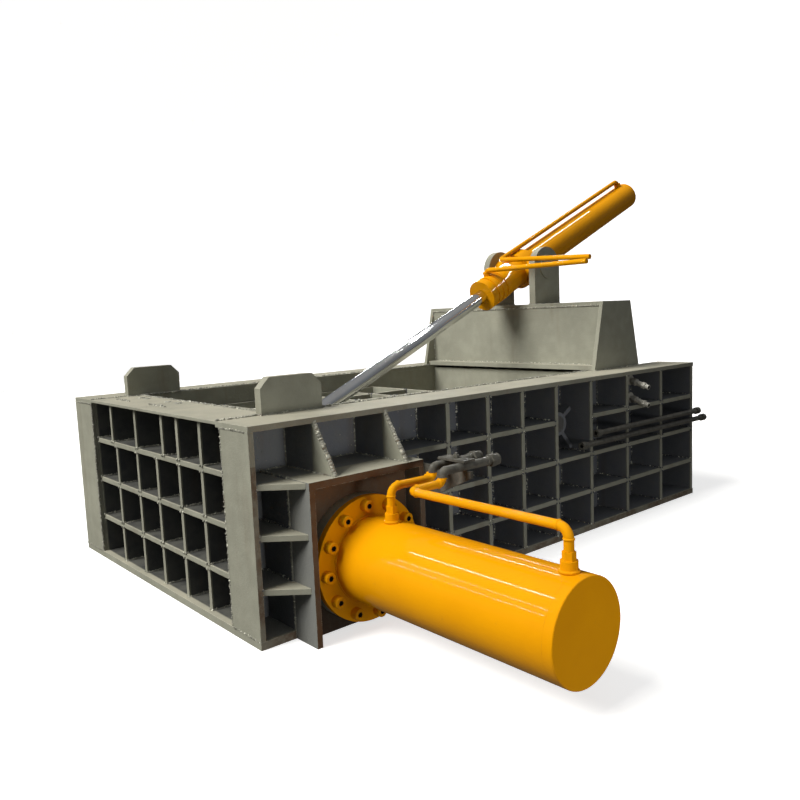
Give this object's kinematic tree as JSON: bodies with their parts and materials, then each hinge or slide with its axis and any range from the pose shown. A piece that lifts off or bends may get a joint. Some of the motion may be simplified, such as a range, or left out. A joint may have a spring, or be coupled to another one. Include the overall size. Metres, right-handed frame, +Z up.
{
  "type": "scrap car press",
  "caption": "Hydraulic scrap car press: ribbed steel box with a hinged lid, a lid cylinder on a bridge, a side ram and a main ram.",
  "frame": {"origin": "middle of the box's footprint, on the floor", "axes": "+Z up; +X along the box from the front end to the rear end with the bridge; -Y is the side with the side cylinder"},
  "size_m": [4.9378, 3.775, 2.7111],
  "materials": {
    "grey_paint": "matt olive-grey paint over mill scale, rusty cut edges",
    "raw_plate": "thin grey paint with brown raw steel showing",
    "pipe_steel": "dark grey painted pipe",
    "bright_fitting": "plated steel",
    "yellow_paint": "gloss golden yellow enamel",
    "turned_steel": "turned steel",
    "chrome_rod": "hard chrome"
  },
  "bodies": {
    "frame": {"base_plate": "grey_paint", "near_wall_plate": "grey_paint", "far_wall_plate": "grey_paint", "front_wall_plate": "grey_paint", "rear_end_plate": "grey_paint", "near_side_ribs": "grey_paint", "far_side_ribs": "grey_paint", "front_ribs": "grey_paint", "corner_plates": "grey_paint", "top_flanges": "grey_paint", "front_top_plate": "grey_paint", "chamber_liners": "grey_paint", "top_lugs": "grey_paint", "tunnel_roof": "grey_paint", "bulkheads": "grey_paint", "rear_deck_plate": "grey_paint", "bridge_end_plates": "grey_paint", "bridge_bottom_plate": "grey_paint", "bridge_web_plates": "grey_paint", "bridge_top_plate": "grey_paint", "trunnion_stands": "grey_paint", "trunnion_caps": "grey_paint", "hinge_bosses": "grey_paint", "side_mount_gussets": "grey_paint", "side_mount_frame": "raw_plate", "side_mount_plate": "raw_plate", "side_mount_ring": "raw_plate", "wall_pipes": "pipe_steel", "wall_pipe_bracket": "pipe_steel", "wall_pipe_clamp": "pipe_steel", "clamp_bolt": "pipe_steel", "rear_pipes": "pipe_steel", "wall_fittings": "bright_fitting", "side_cylinder_flange": "yellow_paint", "side_cylinder_barrel": "yellow_paint", "side_cylinder_end_cap": "yellow_paint", "side_flange_bolts": "yellow_paint", "side_port_fittings": "yellow_paint", "side_pipes": "yellow_paint", "main_cylinder_barrel": "yellow_paint", "main_cylinder_flange": "yellow_paint", "main_flange_bolts": "yellow_paint", "hinge_shaft": "turned_steel", "side_cylinder_gland": "turned_steel", "main_cylinder_gland": "turned_steel"},
    "lid": {"lid_plate": "grey_paint", "lid_ribs": "grey_paint", "rod_channel": "grey_paint", "lid_hinge_arms": "grey_paint", "lid_rod_pin": "turned_steel"},
    "lid_cylinder": {"lid_cylinder_barrel": "yellow_paint", "lid_cylinder_head": "yellow_paint", "lid_cylinder_trunnion": "yellow_paint", "lid_cylinder_pipes": "yellow_paint"},
    "lid_rod": {"lid_rod": "chrome_rod", "lid_rod_eye": "turned_steel"},
    "side_ram": {"side_ram_rod": "chrome_rod", "side_ram_platen": "raw_plate"},
    "main_ram": {"main_ram_rod": "chrome_rod", "main_ram_platen": "raw_plate"}
  },
  "joints": [
    {"name": "lid_hinge", "type": "hinge", "parent": "frame", "child": "lid", "pos_m": [0.442, 0, 0.75], "axis": [0, 1, 0], "range_deg": [0, 60]},
    {"name": "lid_cylinder_tilt", "type": "hinge", "parent": "frame", "child": "lid_cylinder", "pos_m": [1.325, 0, 1.8707], "axis": [0, 1, 0], "range_deg": [0, 29.5]},
    {"name": "lid_rod_slide", "type": "slide", "parent": "lid_cylinder", "child": "lid_rod", "axis": [0.911, 0, 0.4124], "range_m": [0, 0.995]},
    {"name": "side_ram_slide", "type": "slide", "parent": "frame", "child": "side_ram", "axis": [0, 1, 0], "range_m": [0, 0.95]},
    {"name": "main_ram_slide", "type": "slide", "parent": "frame", "child": "main_ram", "axis": [-1, 0, 0], "range_m": [0, 1.715]}
  ],
  "couplings": [
    {"joint": "lid_cylinder_tilt", "follows": "lid_hinge", "ratio": 0.4865},
    {"joint": "lid_rod_slide", "follows": "lid_hinge", "m_per_rad": 0.9451}
  ]
}
